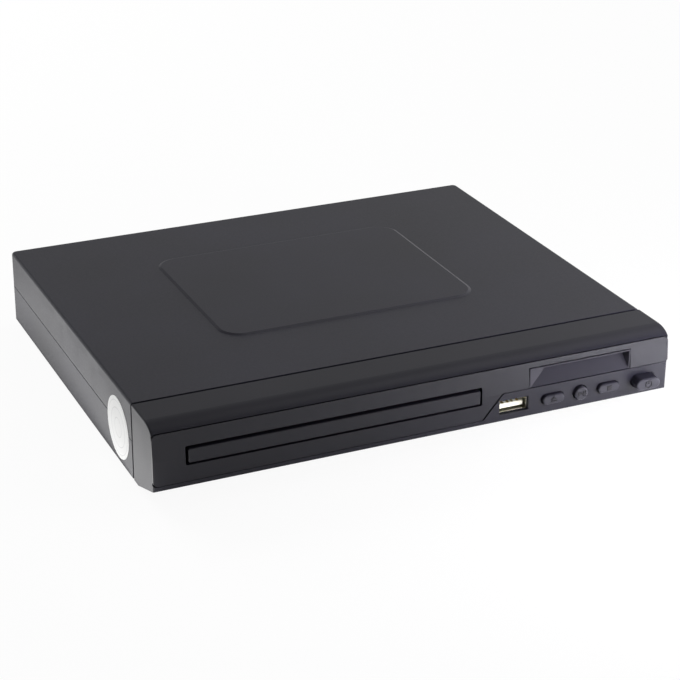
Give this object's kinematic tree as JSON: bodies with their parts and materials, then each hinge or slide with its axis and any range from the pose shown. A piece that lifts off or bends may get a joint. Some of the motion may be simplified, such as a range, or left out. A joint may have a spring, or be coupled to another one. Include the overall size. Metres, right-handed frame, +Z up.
{
  "type": "dvd player",
  "caption": "Low flat disc player with a slide-out tray, L-shaped fascia, data socket, buttons, back sockets and a complete disc loader inside.",
  "frame": {"origin": "on the surface the feet stand on, under the middle of the outer box", "axes": "+X to the right seen from the front, -Y towards the front panel, +Z up"},
  "size_m": [0.2301, 0.2084, 0.0365],
  "materials": {
    "case_grey": "fine moulded grain",
    "panel_grey": "satin",
    "fascia_dark": "satin, brushed look",
    "door_dark": "satin",
    "window_smoke": "smoked, glossy",
    "button_grey": "satin",
    "rubber_black": "matt",
    "paper_white": "paper",
    "zinc_steel": "zinc plated",
    "bright_steel": "bright plated",
    "cream_plastic": "moulded",
    "loader_black": "moulded",
    "tray_black": "moulded",
    "gear_white": "moulded acetal",
    "board_green": "solder mask",
    "chip_black": "moulded",
    "transformer_brown": "ferrite and tape",
    "capacitor_blue": "sleeved",
    "ribbon_white": "film",
    "video_yellow": "moulded",
    "audio_white": "moulded",
    "audio_red": "moulded",
    "sled_metal": "die cast",
    "lens_glass": "coated",
    "pin_brass": "plated",
    "display_dark": "satin"
  },
  "bodies": {
    "case": {"bottom_shell": "case_grey", "top_cover": "case_grey", "front_panel": "panel_grey", "front_fascia": "fascia_dark", "display_window": "window_smoke", "rubber_feet": "rubber_black", "case_screws": "zinc_steel", "seal_sticker": "paper_white", "front_board": "board_green", "tact_switches": "chip_black", "power_switch": "chip_black", "usb_shell": "bright_steel", "usb_tongue": "cream_plastic", "led_display": "display_dark", "front_ribbon": "ribbon_white", "ribbon_connectors": "cream_plastic", "loader_chassis": "loader_black", "clamp_bridge": "zinc_steel", "loading_motor": "zinc_steel", "drive_belt": "rubber_black", "inner_screws": "zinc_steel", "power_board": "board_green", "transformer": "transformer_brown", "filter_capacitors": "capacitor_blue", "main_board": "board_green", "decoder_chip": "chip_black", "power_jumper": "ribbon_white", "jack_block": "chip_black", "video_jack": "video_yellow", "left_audio_jack": "audio_white", "right_audio_jack": "audio_red", "jack_shells": "bright_steel", "hdmi_socket": "bright_steel", "mains_inlet": "chip_black", "inlet_pins": "pin_brass"},
    "tray": {"disc_tray": "tray_black", "tray_door": "door_dark"},
    "drive_gear": {"drive_gear": "gear_white"},
    "pulley_gear": {"pulley_gear": "gear_white"},
    "motor_pulley": {"motor_pulley": "gear_white"},
    "cam_slide": {"cam_slide": "gear_white"},
    "clamper": {"clamper": "loader_black", "clamper_cap": "zinc_steel"},
    "traverse": {"traverse_deck": "loader_black", "spindle_motor": "zinc_steel", "guide_rods": "bright_steel", "sled_motor": "zinc_steel"},
    "turntable": {"turntable": "loader_black"},
    "lead_screw": {"lead_screw": "bright_steel"},
    "sled": {"pickup_sled": "sled_metal", "pickup_lens": "lens_glass"},
    "eject_button": {"eject_button": "button_grey", "eject_plunger": "chip_black"},
    "play_button": {"play_button": "button_grey", "play_plunger": "chip_black"},
    "stop_button": {"stop_button": "button_grey", "stop_plunger": "chip_black"},
    "power_button": {"power_button": "button_grey", "power_plunger": "chip_black"}
  },
  "joints": [
    {"name": "tray_slide", "type": "slide", "parent": "case", "child": "tray", "axis": [0, -1, 0], "range_m": [0, 0.13]},
    {"name": "drive_gear_spin", "type": "hinge", "parent": "case", "child": "drive_gear", "pos_m": [0.0083, -0.07125, 0.014], "axis": [0, 0, 1], "range_deg": [-1036.51, 2]},
    {"name": "pulley_gear_spin", "type": "hinge", "parent": "case", "child": "pulley_gear", "pos_m": [-0.00813, -0.07474, 0.0162], "axis": [0, 0, 1], "range_deg": [-2, 2588.27]},
    {"name": "motor_pulley_spin", "type": "hinge", "parent": "case", "child": "motor_pulley", "pos_m": [-0.03813, -0.07474, 0.0162], "axis": [0, 0, 1], "range_deg": [-2, 6350.11]},
    {"name": "traverse_lift", "type": "hinge", "parent": "case", "child": "traverse", "pos_m": [-0.0377, 0.04745, 0.0152], "axis": [-1, 0, 0], "range_deg": [0, 2.96]},
    {"name": "cam_slide_move", "type": "slide", "parent": "case", "child": "cam_slide", "axis": [-1, 0, 0], "range_m": [0, 0.01401]},
    {"name": "clamper_spin", "type": "hinge", "parent": "case", "child": "clamper", "pos_m": [-0.0377, -0.03205, 0.0309], "axis": [0, 0, 1], "continuous": true},
    {"name": "turntable_spin", "type": "hinge", "parent": "traverse", "child": "turntable", "pos_m": [-0.0377, -0.03232, 0.01839], "axis": [0, -0.0516, 0.9987], "continuous": true},
    {"name": "sled_slide", "type": "slide", "parent": "traverse", "child": "sled", "axis": [0, 0.9987, 0.0516], "range_m": [0, 0.034]},
    {"name": "lead_screw_spin", "type": "hinge", "parent": "traverse", "child": "lead_screw", "pos_m": [-0.0677, -0.01896, 0.01177], "axis": [0, 0.9987, 0.0516], "range_deg": [-2, 4082]},
    {"name": "eject_press", "type": "slide", "parent": "case", "child": "eject_button", "axis": [0, 1, 0], "range_m": [0, 0.0008], "stiffness_N_per_m": 600},
    {"name": "play_press", "type": "slide", "parent": "case", "child": "play_button", "axis": [0, 1, 0], "range_m": [0, 0.0008], "stiffness_N_per_m": 600},
    {"name": "stop_press", "type": "slide", "parent": "case", "child": "stop_button", "axis": [0, 1, 0], "range_m": [0, 0.0008], "stiffness_N_per_m": 600},
    {"name": "power_press", "type": "slide", "parent": "case", "child": "power_button", "axis": [0, 1, 0], "range_m": [0, 0.003], "stiffness_N_per_m": 300}
  ],
  "couplings": [
    {"joint": "drive_gear_spin", "follows": "tray_slide", "rad_per_m": -138.89},
    {"joint": "pulley_gear_spin", "follows": "tray_slide", "rad_per_m": 347.22},
    {"joint": "motor_pulley_spin", "follows": "tray_slide", "rad_per_m": 852.27},
    {"joint": "cam_slide_move", "follows": "traverse_lift", "m_per_rad": 0.27134},
    {"joint": "turntable_spin", "follows": "clamper_spin", "ratio": 1},
    {"joint": "lead_screw_spin", "follows": "sled_slide", "rad_per_m": 2094.4}
  ]
}
